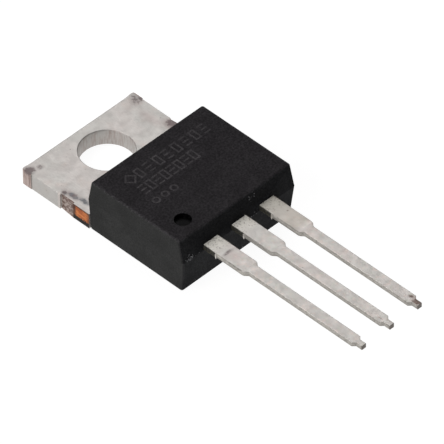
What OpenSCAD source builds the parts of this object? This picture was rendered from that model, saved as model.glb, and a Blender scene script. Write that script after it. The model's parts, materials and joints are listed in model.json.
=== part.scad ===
// Three-lead voltage regulator: a moulded body on a bolt-down metal tab.
// Origin: axis of the mounting hole, on the back face of the tab.
// +Y points to the free end of the tab and the leads run along -Y.
// +Z is up from the back face, and the input lead is on the -X side.

/* [Tab] */
// Width of the bare tab
tab_w = 10.1; // [9.6:0.1:10.7]
// Thickness of the tab
tab_t = 1.27; // [1.1:0.01:1.4]
// Hole axis to the free end of the tab
tab_end = 2.7; // [2.5:0.05:3.1]
// Diameter of the mounting hole
hole_d = 3.8; // [3.5:0.05:4.1]
// Radius of the two free corners
tab_corner_r = 0.15; // [0.05:0.05:0.3]
// Length of the carrier-strip cut at each free corner
strip_cut_l = 0.87; // [0.6:0.01:1.2]
// How far a carrier-strip cut stands proud of the side
strip_cut_proud = 0.04; // [0.01:0.01:0.08]
// Length of the tie-bar cut beside the body
tie_cut_l = 1.46; // [1:0.02:1.8]
// Length of the relief that leads up to the tie-bar cut
relief_l = 1.2; // [0.8:0.05:1.4]
// Depth of the relief where it starts
relief_d = 0.12; // [0.05:0.01:0.2]

/* [Pad inside the body] */
// Width of plastic beside the exposed pad
skirt_w = 1; // [0.8:0.02:1.4]
// Width of plastic between the pad and the lead side of the body
front_wall = 2.3; // [2:0.1:2.8]
// How far the locking ledge stands out under the moulding
ledge_w = 0.3; // [0.1:0.05:0.4]
// Height of the underside of the locking ledge
ledge_z = 0.7; // [0.5:0.05:0.9]
// Width of each locking groove across the pad
groove_w = 0.3; // [0.2:0.05:0.4]
// Depth of each locking groove
groove_d = 0.15; // [0.1:0.01:0.25]
// Body edge to the first groove
groove_gap = 0.6; // [0.4:0.05:0.8]
// Distance between the grooves
groove_pitch = 0.55; // [0.5:0.05:0.7]

/* [Body] */
// Width of the body at its parting line
body_w = 10.2; // [9.9:0.02:10.6]
// Length of the body at its parting line
body_l = 8.68; // [8.4:0.02:9.2]
// Height of the body from the back face
body_h = 4.32; // [4.2:0.01:4.7]
// Hole axis to the tab side of the body
body_gap = 3.42; // [3.2:0.02:4]
// Draft of the two flanks above the parting line
flank_draft_top = 0.02; // [0.02:0.01:0.12]
// Draft of the two flanks below the parting line
flank_draft_bottom = 0.14; // [0.04:0.01:0.2]
// Draft of the lead side above the parting line
front_draft_top = 0.42; // [0.1:0.02:0.5]
// Draft of the lead side below the parting line
front_draft_bottom = 0.3; // [0.1:0.02:0.4]
// Draft of the tab side above the parting line
back_draft_top = 0.32; // [0.1:0.02:0.5]
// Draft of the tab side below the parting line
back_draft_bottom = 0.04; // [0.02:0.01:0.1]
// Radius of the four upright edges
body_corner_r = 0.14; // [0.06:0.02:0.3]
// Radius of the edges round the top
body_edge_r = 0.12; // [0.06:0.02:0.2]
// Diameter of the ejector dimple in the top
dimple_d = 1.16; // [0.8:0.02:1.4]
// Depth of the ejector dimple
dimple_depth = 0.3; // [0.1:0.02:0.4]
// Input flank to the centre of the dimple
dimple_x = 1.68; // [1.4:0.02:2]
// Lead side to the centre of the dimple
dimple_y = 1.72; // [1.4:0.02:2]

/* [Leads] */
// Distance between neighbouring leads
pitch = 2.54; // [2.4:0.01:2.7]
// Thickness of the leads
lead_t = 0.38; // [0.35:0.01:0.5]
// Height of the underside of the leads
lead_z = 2.66; // [2.4:0.02:2.8]
// Width of a lead where it leaves the body
wide_w = 1.26; // [1.1:0.02:1.5]
// Width of a lead along its pin
pin_w = 0.8; // [0.7:0.01:0.9]
// Length of the wide stretch outside the body
wide_l = 3.4; // [2.6:0.05:3.6]
// Length of the curved shoulder between the two widths
shoulder_l = 0.4; // [0.3:0.05:1.2]
// Length of a lead from the body to its tip
lead_l = 13.48; // [12.7:0.02:14.7]
// Length of the nib at the tip
nib_l = 0.5; // [0.3:0.05:0.8]
// Width of the nib at the tip
nib_w = 0.38; // [0.3:0.02:0.6]
// Length of the step down to the nib
nib_step_l = 0.2; // [0.1:0.05:0.4]

/* [Bonding posts] */
// Width of a bonding post
post_w = 1.9; // [1.5:0.1:2]
// Length of a bonding post
post_l = 1.3; // [1:0.1:1.5]
// Lead side of the body to the near edge of a post
post_gap = 1.2; // [1.1:0.05:1.5]
// Corner radius of a bonding post
post_r = 0.2; // [0.1:0.05:0.3]
// Diameter of the resin lock hole in a lead
lock_hole_d = 0.6; // [0.4:0.05:0.7]
// Lead side of the body to the axis of the lock hole
lock_hole_gap = 0.75; // [0.6:0.05:0.9]
// Lead side of the body to the bend of the centre lead
bend_gap = 1.1; // [0.9:0.05:1.3]

/* [Chip and bond wires] */
// Side of the square silicon die
die_w = 2.6; // [2.2:0.1:3]
// Thickness of the die
die_t = 0.3; // [0.2:0.02:0.4]
// Inner end of the pad to the centre of the die
die_setback = 3.1; // [2.8:0.1:3.3]
// Thickness of the solder under the die
solder_t = 0.05; // [0.03:0.01:0.1]
// How far the solder spreads past the die
solder_spread = 0.1; // [0.05:0.05:0.2]
// Diameter of a bond wire
wire_d = 0.25; // [0.15:0.01:0.3]
// Length of a wedge bond
bond_l = 0.5; // [0.4:0.05:0.6]
// Width of a wedge bond
bond_w = 0.3; // [0.26:0.01:0.36]
// Height of a wedge bond
bond_h = 0.15; // [0.1:0.01:0.2]
// Edge of the die to the centre of a bond
bond_inset = 0.35; // [0.33:0.01:0.4]
// Distance between the two wires of a pair on the die
die_bond_pitch = 0.45; // [0.42:0.01:0.5]
// Distance between the two wires of a pair on a post
post_bond_pitch = 0.7; // [0.5:0.05:0.9]
// Rise of a long wire above its chord
long_rise = 0.85; // [0.6:0.05:1]
// Rise of the ground wire above its chord
ground_rise = 0.6; // [0.5:0.05:0.7]
// Edge of the die to the ground bond on the pad
ground_reach = 0.9; // [0.7:0.05:1.1]

/* [Hidden] */

$fn = 48;
// Steps in each arc of an outline
ARC_STEPS = 5;
// Steps in each curved shoulder of a lead
SHOULDER_STEPS = 8;
// Thickness of the slices that the body is stretched over
SLICE = 0.01;
// Overshoot of every cutter past the face that it opens
CUT = 0.5;

TIN = "#BDBAB3";
RESIN = "#2B282B";
SILICON = "#5C5F6B";
SOLDER = "#8E8F92";
ALUMINIUM = "#C9CBCF";

body_back_y = -body_gap;
body_front_y = -body_gap - body_l;
parting_z = lead_z;
// The bare tab ends where the body's tab side meets the back face.
shoulder_y = body_back_y - back_draft_bottom;
pad_w = body_w - 2 * skirt_w;
pad_end_y = body_front_y + front_wall;
lead_tip_y = body_front_y - lead_l;
die_y = pad_end_y + die_setback;
die_top_z = tab_t + solder_t + die_t;
post_y = body_front_y + post_gap + post_l / 2;
lead_top_z = lead_z + lead_t;

// Points of an arc round c, from angle a0 to angle a1
function arc(c, r, a0, a1) =
    [for (i = [0:ARC_STEPS]) let (a = a0 + (a1 - a0) * i / ARC_STEPS)
        [c.x + r * cos(a), c.y + r * sin(a)]];

// Outline of a rectangle from corner lo to corner hi, with round corners
function round_rect(lo, hi, r) = concat(
    arc([hi.x - r, hi.y - r], r, 0, 90),
    arc([lo.x + r, hi.y - r], r, 90, 180),
    arc([lo.x + r, lo.y + r], r, 180, 270),
    arc([hi.x - r, lo.y + r], r, 270, 360)
);

// The same points in reverse order, mirrored in the Y axis
function mirrored(pts) = [for (i = [len(pts) - 1:-1:0]) [-pts[i].x, pts[i].y]];

// Right edge of the bare tab, from the shoulder up to the free end
function tab_edge(half, tie_y, relief_y, cut_y) = concat(
    [[half, shoulder_y], [half, tie_y], [half - relief_d, relief_y], [half, relief_y]],
    [[half, cut_y], [half + strip_cut_proud, cut_y]],
    arc([half + strip_cut_proud - tab_corner_r, tab_end - tab_corner_r], tab_corner_r, 0, 90)
);

// Right edge of a lead, from inner_y inside the body out to its tip
function lead_edge(inner_y) =
    let (start_y = body_front_y - wide_l, nib_y = lead_tip_y + nib_l)
    concat(
        [[wide_w / 2, inner_y]],
        [for (i = [0:SHOULDER_STEPS]) let (s = i / SHOULDER_STEPS)
            [(wide_w + pin_w) / 4 + (wide_w - pin_w) / 4 * cos(180 * s), start_y - shoulder_l * s]],
        [[pin_w / 2, nib_y + nib_step_l], [nib_w / 2, nib_y], [nib_w / 2, lead_tip_y]]
    );

// Whole outline of something with the same edge on its left and on its right
function both_sides(edge) = concat(edge, mirrored(edge));

// The bare tab with its sheared sides, the pad, its locking ledge and grooves
module tab_plate() {
    tie_y = shoulder_y + tie_cut_l;
    edge = tab_edge(tab_w / 2, tie_y, tie_y + relief_l, tab_end - strip_cut_l);
    pad_depth = shoulder_y - pad_end_y;
    difference() {
        union() {
            linear_extrude(tab_t) polygon(both_sides(edge));
            translate([-pad_w / 2, pad_end_y, 0])
                cube([pad_w, pad_depth + SLICE, tab_t]);
            translate([-pad_w / 2 - ledge_w, pad_end_y, ledge_z])
                cube([pad_w + 2 * ledge_w, pad_depth + SLICE, tab_t - ledge_z]);
        }
        translate([0, 0, -CUT]) cylinder(h = tab_t + 2 * CUT, d = hole_d);
        for (i = [0:1])
            translate([-tab_w, body_back_y - groove_gap - i * groove_pitch, tab_t - groove_d])
                cube([2 * tab_w, groove_w, groove_d + CUT]);
    }
}

// One lead seen from above, from inner_y inside the body out to its tip
module lead_outline(inner_y) {
    polygon(both_sides(lead_edge(inner_y)));
}

// The centre lead: flat outside, then bent down to meet the pad
module ground_lead() {
    bend_y = body_front_y + bend_gap;
    drop_z = tab_t - lead_t;
    // The lower face of the slope is set back so that the strip keeps its thickness.
    slope = atan2(lead_z - drop_z, pad_end_y - bend_y);
    shift = lead_t * tan(slope / 2);
    side = [
        [lead_tip_y, lead_z], [bend_y - shift, lead_z], [pad_end_y - shift, drop_z],
        [pad_end_y + SLICE, drop_z], [pad_end_y + SLICE, tab_t], [pad_end_y, tab_t],
        [bend_y, lead_top_z], [lead_tip_y, lead_top_z]
    ];
    intersection() {
        linear_extrude(body_h) lead_outline(pad_end_y + CUT);
        translate([-wide_w, 0, 0]) rotate([90, 0, 90])
            linear_extrude(2 * wide_w) polygon(side);
    }
}

// An outer lead, centred on x, with its bonding post and resin lock hole
module outer_lead(x) {
    translate([x, 0, lead_z]) difference() {
        union() {
            linear_extrude(lead_t) lead_outline(post_y);
            linear_extrude(lead_t)
                polygon(round_rect([-post_w / 2, post_y - post_l / 2],
                    [post_w / 2, post_y + post_l / 2], post_r));
        }
        translate([0, body_front_y + lock_hole_gap, -CUT])
            cylinder(h = lead_t + 2 * CUT, d = lock_hole_d);
    }
}

// A thin level slice of the body at height z, drawn in from the parting line
module body_slice(z, flank, front, back) {
    half = body_w / 2 - flank;
    translate([0, 0, z]) linear_extrude(SLICE)
        polygon(round_rect([-half, body_front_y + front], [half, body_back_y - back],
            body_corner_r));
}

// The outside of the body, without its dimple and pockets
module body_shell() {
    hull() {
        body_slice(0, flank_draft_bottom, front_draft_bottom, back_draft_bottom);
        body_slice(parting_z, 0, 0, 0);
        body_slice(body_h - body_edge_r, flank_draft_top, front_draft_top, back_draft_top);
        body_slice(body_h - SLICE, flank_draft_top + body_edge_r,
            front_draft_top + body_edge_r, back_draft_top + body_edge_r);
    }
}

// A bond wire from point a to point b: a round arc between two wedge bonds
module bond_wire(a, b, rise) {
    run = norm([b.x - a.x, b.y - a.y]);
    drop = b.z - a.z;
    chord = norm([run, drop]);
    radius = (chord * chord / 4 + rise * rise) / (2 * rise);
    // Centre of the arc, in the upright plane through both bonds
    centre = [run / 2 + drop / chord * (radius - rise),
        wire_d / 2 + drop / 2 - run / chord * (radius - rise)];
    start_angle = atan2(wire_d / 2 + drop - centre.y, run - centre.x);
    end_angle = atan2(wire_d / 2 - centre.y, -centre.x);
    translate(a) rotate([0, 0, atan2(b.y - a.y, b.x - a.x)]) union() {
        translate([centre.x, 0, centre.y]) rotate([90, 0, 0]) rotate([0, 0, start_angle])
            rotate_extrude(angle = end_angle - start_angle)
                translate([radius, 0]) circle(d = wire_d);
        for (foot = [[0, 0], [run, drop]])
            translate([foot.x - bond_l / 2, -bond_w / 2, foot.y])
                cube([bond_l, bond_w, bond_h]);
    }
}

// One wire of a pair, from the die to the post on the given side (-1 or 1)
module post_wire(side, place) {
    bond_wire(
        [side * (die_w / 2 - bond_inset - (1 - place) * die_bond_pitch),
            die_y - die_w / 2 + bond_inset, die_top_z],
        [side * (pitch + (place - 0.5) * post_bond_pitch), post_y, lead_top_z],
        long_rise
    );
}

// Everything that the resin flows round
module moulded_in() {
    tab_and_ground_lead();
    input_lead();
    output_lead();
    die_solder();
    regulator_die();
    input_wire_outer();
    input_wire_inner();
    output_wire_outer();
    output_wire_inner();
    ground_wire();
}

module tab_and_ground_lead() {
    color(TIN) union() {
        tab_plate();
        ground_lead();
    }
}

module input_lead() {
    color(TIN) outer_lead(-pitch);
}

module output_lead() {
    color(TIN) outer_lead(pitch);
}

module moulded_body() {
    color(RESIN) difference() {
        body_shell();
        translate([-body_w / 2 + dimple_x, body_front_y + dimple_y, body_h - dimple_depth])
            cylinder(h = dimple_depth + CUT, d = dimple_d);
        moulded_in();
    }
}

module die_solder() {
    side = die_w + 2 * solder_spread;
    color(SOLDER) translate([-side / 2, die_y - side / 2, tab_t])
        cube([side, side, solder_t]);
}

module regulator_die() {
    color(SILICON) translate([-die_w / 2, die_y - die_w / 2, tab_t + solder_t])
        cube([die_w, die_w, die_t]);
}

module input_wire_outer() {
    color(ALUMINIUM) post_wire(-1, 1);
}

module input_wire_inner() {
    color(ALUMINIUM) post_wire(-1, 0);
}

module output_wire_outer() {
    color(ALUMINIUM) post_wire(1, 1);
}

module output_wire_inner() {
    color(ALUMINIUM) post_wire(1, 0);
}

module ground_wire() {
    color(ALUMINIUM)
        bond_wire([0, die_y, die_top_z], [0, die_y - die_w / 2 - ground_reach, tab_t],
            ground_rise);
}

tab_and_ground_lead();
input_lead();
output_lead();
moulded_body();
die_solder();
regulator_die();
input_wire_outer();
input_wire_inner();
output_wire_outer();
output_wire_inner();
ground_wire();
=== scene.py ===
"""Looks of the three-lead voltage regulator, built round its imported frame.

Every size is in millimetres until it is placed, and MM turns it into metres.
The frame's origin is the axis of the mounting hole on the back of the tab,
+Y runs to the free end of the tab, and the leads run along -Y.
"""

import json
import logging
import math
import random
from contextlib import contextmanager
from dataclasses import dataclass, field
from enum import Enum
from functools import lru_cache, partial, reduce
from typing import Any, Callable, Iterator, Sequence

import bmesh
import bpy
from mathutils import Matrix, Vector


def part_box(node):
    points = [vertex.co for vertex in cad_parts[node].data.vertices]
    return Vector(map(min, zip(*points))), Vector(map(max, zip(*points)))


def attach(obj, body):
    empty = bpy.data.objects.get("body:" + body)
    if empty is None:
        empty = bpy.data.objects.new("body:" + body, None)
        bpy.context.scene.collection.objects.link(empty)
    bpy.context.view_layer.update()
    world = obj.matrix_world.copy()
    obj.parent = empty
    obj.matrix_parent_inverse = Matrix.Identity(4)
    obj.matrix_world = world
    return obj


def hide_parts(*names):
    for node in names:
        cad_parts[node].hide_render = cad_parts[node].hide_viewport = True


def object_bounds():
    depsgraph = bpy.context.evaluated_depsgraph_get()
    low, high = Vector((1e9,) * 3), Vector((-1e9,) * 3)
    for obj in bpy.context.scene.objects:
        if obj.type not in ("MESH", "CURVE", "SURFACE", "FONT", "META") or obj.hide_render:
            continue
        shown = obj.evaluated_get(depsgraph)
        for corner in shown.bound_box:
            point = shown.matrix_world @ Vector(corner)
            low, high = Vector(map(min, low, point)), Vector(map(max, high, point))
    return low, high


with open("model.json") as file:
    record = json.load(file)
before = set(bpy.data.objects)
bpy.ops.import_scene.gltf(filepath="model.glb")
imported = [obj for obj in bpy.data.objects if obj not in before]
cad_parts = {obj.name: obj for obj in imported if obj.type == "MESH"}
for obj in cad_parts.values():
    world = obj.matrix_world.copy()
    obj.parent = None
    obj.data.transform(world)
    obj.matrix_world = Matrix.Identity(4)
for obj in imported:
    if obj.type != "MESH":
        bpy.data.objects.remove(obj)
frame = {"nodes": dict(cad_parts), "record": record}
CAD_LOW, CAD_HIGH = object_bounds()

MM = 0.001
NEAR = 1e-3
WALL_NEAR = 5e-3
FACING = 0.9
OVERLAP = 0.02
SMOOTH_BELOW = math.radians(40.0)
TAB_TOP = 1.27
LEAD_TOP = 3.04
BODY = "root"
log = logging.getLogger("regulator")

Pair = tuple[float, float]
Triple = tuple[float, float, float]
FaceTest = Callable[[Vector, Vector], bool]
EdgeTest = Callable[[Vector, Vector], bool]


class Slot(Enum):
    """Material slots of the record."""

    TIN = "tinned_copper"
    RESIN = "moulding_resin"
    SOLDER = "solder"
    SILICON = "silicon"
    WIRE = "bond_wire"


class Join(Enum):
    """How one solid meets another."""

    ADD = "UNION"
    CUT = "DIFFERENCE"


class Element(Enum):
    """What edit mode selects."""

    CORNER = "VERT"
    EDGE = "EDGE"
    FACE = "FACE"


class Axis(Enum):
    """An axis of the frame, by its index."""

    X = 0
    Y = 1
    Z = 2


class Mark(Enum):
    """Plain shapes that stand where a part would carry print."""

    FRAME = "frame"
    DIAMOND = "diamond"
    RING = "ring"
    BARS = "bars"


# ---------------------------------------------------------------- the bench


def mm(point: Sequence[float]) -> Vector:
    """Turns a point or a size in millimetres into metres."""
    return Vector(point) * MM


def at(axis: Axis, place: float, *points: Vector) -> bool:
    """Says whether points all lie at one place along an axis."""
    return all(abs(point[axis.value] - place) < NEAR for point in points)


def on_circle(centre: Pair, radius: float, *points: Vector) -> bool:
    """Says whether points, seen from above, all lie on a circle."""
    x, y = centre
    return all(abs(math.hypot(p.x - x, p.y - y) - radius) < WALL_NEAR for p in points)


def direction(azimuth: float, elevation: float) -> Vector:
    """Gives the way from the object to a camera or a light, for angles in degrees."""
    turn, lift = math.radians(azimuth), math.radians(elevation)
    flat = math.cos(lift)
    return Vector((math.sin(turn) * flat, -math.cos(turn) * flat, math.sin(lift)))


def clear_selection() -> None:
    """Leaves nothing selected, in object mode."""
    if bpy.context.mode != "OBJECT":
        bpy.ops.object.mode_set(mode="OBJECT")
    bpy.ops.object.select_all(action="DESELECT")


def only(obj: bpy.types.Object) -> None:
    """Leaves one object selected and active, in object mode."""
    clear_selection()
    bpy.context.view_layer.objects.active = obj
    obj.select_set(True)


class Piece:
    """A mesh under work, shaped with Blender's own operators."""

    def __init__(self, obj: bpy.types.Object) -> None:
        """Takes an object that already has a mesh."""
        self.obj = obj

    @classmethod
    def _settled(cls, name: str) -> "Piece":
        """Names the new primitive and puts its place and size into its mesh."""
        obj = bpy.context.active_object
        obj.name = name
        obj.data.name = name
        only(obj)
        bpy.ops.object.transform_apply(location=True, rotation=True, scale=True)
        return cls(obj)

    @classmethod
    def box(cls, name: str, low: Sequence[float], high: Sequence[float]) -> "Piece":
        """Starts a piece from a box.

        Args:
            name: Name of the piece.
            low: Lowest corner in millimetres.
            high: Highest corner in millimetres.

        Returns:
            The piece.
        """
        clear_selection()
        start, end = mm(low), mm(high)
        bpy.ops.mesh.primitive_cube_add(
            size=1.0, location=(start + end) / 2, scale=end - start
        )
        return cls._settled(name)

    @classmethod
    def rod(
        cls, name: str, foot: Sequence[float], radius: float, height: float, sides: int
    ) -> "Piece":
        """Starts a piece from an upright cylinder.

        Args:
            name: Name of the piece.
            foot: Middle of its lower end, in millimetres.
            radius: Radius in millimetres.
            height: Height in millimetres.
            sides: Number of sides.

        Returns:
            The piece.
        """
        clear_selection()
        middle = mm(foot) + Vector((0, 0, height / 2 * MM))
        bpy.ops.mesh.primitive_cylinder_add(
            vertices=sides, radius=radius * MM, depth=height * MM, location=middle
        )
        return cls._settled(name)

    @classmethod
    def from_node(cls, node: str) -> "Piece":
        """Starts a piece from a merged copy of a CAD node.

        Args:
            node: Name of the CAD node, which itself stays as it is.

        Returns:
            The piece.
        """
        mesh = frame["nodes"][node].data.copy()
        obj = bpy.data.objects.new(node + "_copy", mesh)
        bpy.context.scene.collection.objects.link(obj)
        piece = cls(obj)
        piece.mend()
        return piece

    def copy(self, name: str, shift: Sequence[float] = (0, 0, 0)) -> "Piece":
        """Copies the piece with a mesh of its own.

        Args:
            name: Name of the copy.
            shift: How far the copy moves, in millimetres.

        Returns:
            The copy.
        """
        obj = self.obj.copy()
        obj.data = self.obj.data.copy()
        obj.name = name
        obj.data.name = name
        bpy.context.scene.collection.objects.link(obj)
        obj.location = mm(shift)
        only(obj)
        bpy.ops.object.transform_apply(location=True, rotation=True, scale=True)
        return Piece(obj)

    @contextmanager
    def editing(self, element: Element = Element.FACE) -> Iterator[None]:
        """Opens edit mode with nothing selected, and closes it again.

        Args:
            element: What edit mode selects.
        """
        only(self.obj)
        bpy.ops.object.mode_set(mode="EDIT")
        bpy.ops.mesh.select_mode(type=element.value)
        bpy.ops.mesh.select_all(action="DESELECT")
        yield
        bpy.ops.object.mode_set(mode="OBJECT")

    def _pick(self, parts: str, test: Callable[[Any], bool]) -> int:
        """Selects some parts of the mesh in edit mode.

        Args:
            parts: Which parts: faces, edges or verts.
            test: Says yes or no to a part.

        Returns:
            How many parts are selected.
        """
        mesh = bmesh.from_edit_mesh(self.obj.data)
        mesh.normal_update()
        chosen = [part for part in getattr(mesh, parts) if test(part)]
        for part in chosen:
            part.select_set(True)
        mesh.select_flush_mode()
        bmesh.update_edit_mesh(self.obj.data)
        return len(chosen)

    def pick_faces(self, test: FaceTest) -> int:
        """Selects faces by their middle, in millimetres, and their normal."""
        return self._pick("faces", lambda f: test(f.calc_center_median() / MM, f.normal))

    def pick_edges(self, test: EdgeTest) -> int:
        """Selects edges by their two ends, in millimetres."""
        return self._pick("edges", lambda e: test(e.verts[0].co / MM, e.verts[1].co / MM))

    def pick_corners(self, test: Callable[[Vector], bool]) -> int:
        """Selects vertices by their place, in millimetres."""
        return self._pick("verts", lambda v: test(v.co / MM))

    def slice(self, axis: Axis, *places: float) -> None:
        """Cuts edges into the whole mesh where level planes cross it.

        Args:
            axis: Axis that the planes stand square to.
            places: Place of each plane along the axis, in millimetres.
        """
        for place in places:
            point, normal = [0.0, 0.0, 0.0], [0.0, 0.0, 0.0]
            point[axis.value] = place * MM
            normal[axis.value] = 1.0
            with self.editing():
                bpy.ops.mesh.select_all(action="SELECT")
                bpy.ops.mesh.bisect(plane_co=point, plane_no=normal, threshold=1e-7)

    def move(self, shift: Sequence[float]) -> None:
        """Moves what is selected, by a shift in millimetres."""
        bpy.ops.transform.translate(value=mm(shift), orient_type="GLOBAL")

    def extrude(self, shift: Sequence[float]) -> None:
        """Extrudes the selected faces by a shift in millimetres."""
        bpy.ops.mesh.extrude_region_move(
            TRANSFORM_OT_translate={"value": mm(shift), "orient_type": "GLOBAL"}
        )

    def resize(self, factors: Sequence[float], centre: Sequence[float]) -> None:
        """Scales what is selected about a point in millimetres."""
        bpy.ops.transform.resize(
            value=factors, center_override=mm(centre), orient_type="GLOBAL"
        )

    def mirror(self) -> None:
        """Mirrors the piece from left to right, about the middle of the frame."""
        with self.editing():
            bpy.ops.mesh.select_all(action="SELECT")
            self.resize((-1, 1, 1), (0, 0, 0))
            bpy.ops.mesh.normals_make_consistent(inside=False)

    def round_edges(self, width: float, steps: int, test: EdgeTest) -> None:
        """Bevels some edges.

        Args:
            width: Width of the bevel in millimetres.
            steps: Number of strips in the bevel.
            test: Says yes or no to an edge's two ends, in millimetres.
        """
        with self.editing(Element.EDGE):
            if self.pick_edges(test):
                bpy.ops.mesh.bevel(
                    offset_type="OFFSET", offset=width * MM, segments=steps, affect="EDGES"
                )

    def join(self, other: "Piece", how: Join) -> None:
        """Adds another solid to this one, or cuts it away, and removes it.

        Args:
            other: The other solid.
            how: Whether it is added or cut away.
        """
        only(self.obj)
        modifier = self.obj.modifiers.new("join", "BOOLEAN")
        modifier.object = other.obj
        modifier.operation = how.value
        modifier.solver = "EXACT"
        bpy.ops.object.modifier_apply(modifier=modifier.name)
        other.remove()

    @staticmethod
    def merged(name: str, pieces: Sequence["Piece"]) -> "Piece":
        """Joins pieces into one, as loose parts, and names it."""
        only(pieces[0].obj)
        for other in pieces[1:]:
            other.obj.select_set(True)
        bpy.ops.object.join()
        pieces[0].obj.name = name
        return pieces[0]

    def remove(self) -> None:
        """Deletes the piece."""
        mesh = self.obj.data
        bpy.data.objects.remove(self.obj)
        bpy.data.meshes.remove(mesh)

    def mend(self) -> None:
        """Merges doubled vertices and turns every face outwards."""
        with self.editing():
            bpy.ops.mesh.select_all(action="SELECT")
            bpy.ops.mesh.remove_doubles(threshold=2e-7)
            bpy.ops.mesh.normals_make_consistent(inside=False)

    def paint(self, materials: Sequence[bpy.types.Material], *tests: FaceTest) -> None:
        """Gives the piece its materials.

        Args:
            materials: The first covers the piece, and each later one covers some faces.
            tests: For each later material, says yes or no to a face's middle and normal.
        """
        self.obj.data.materials.clear()
        for material in materials:
            self.obj.data.materials.append(material)
        for number, test in enumerate(tests, start=1):
            with self.editing():
                if self.pick_faces(test):
                    self.obj.active_material_index = number
                    bpy.ops.object.material_slot_assign()

    def finish(self, slot: Slot, *nodes: str) -> None:
        """Shades the piece, fixes it to the body and reports it.

        Args:
            slot: The record's material slot that it takes its finish from; not used here.
            nodes: CAD nodes that it stands for.
        """
        only(self.obj)
        bpy.ops.object.shade_smooth_by_angle(angle=SMOOTH_BELOW)
        modifier = self.obj.modifiers.new("even_shading", "WEIGHTED_NORMAL")
        modifier.keep_sharp = True
        bpy.ops.object.modifier_apply(modifier=modifier.name)
        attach(self.obj, BODY)
        if nodes:
            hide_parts(*nodes)
        log.info("%s: %d faces, stands for %s", self.obj.name,
                 len(self.obj.data.polygons), ", ".join(nodes) or "no node")


# -------------------------------------------------------------- the finishes


Socket = bpy.types.NodeSocket
Amount = Socket | float
Colour = Socket | Sequence[float]


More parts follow.
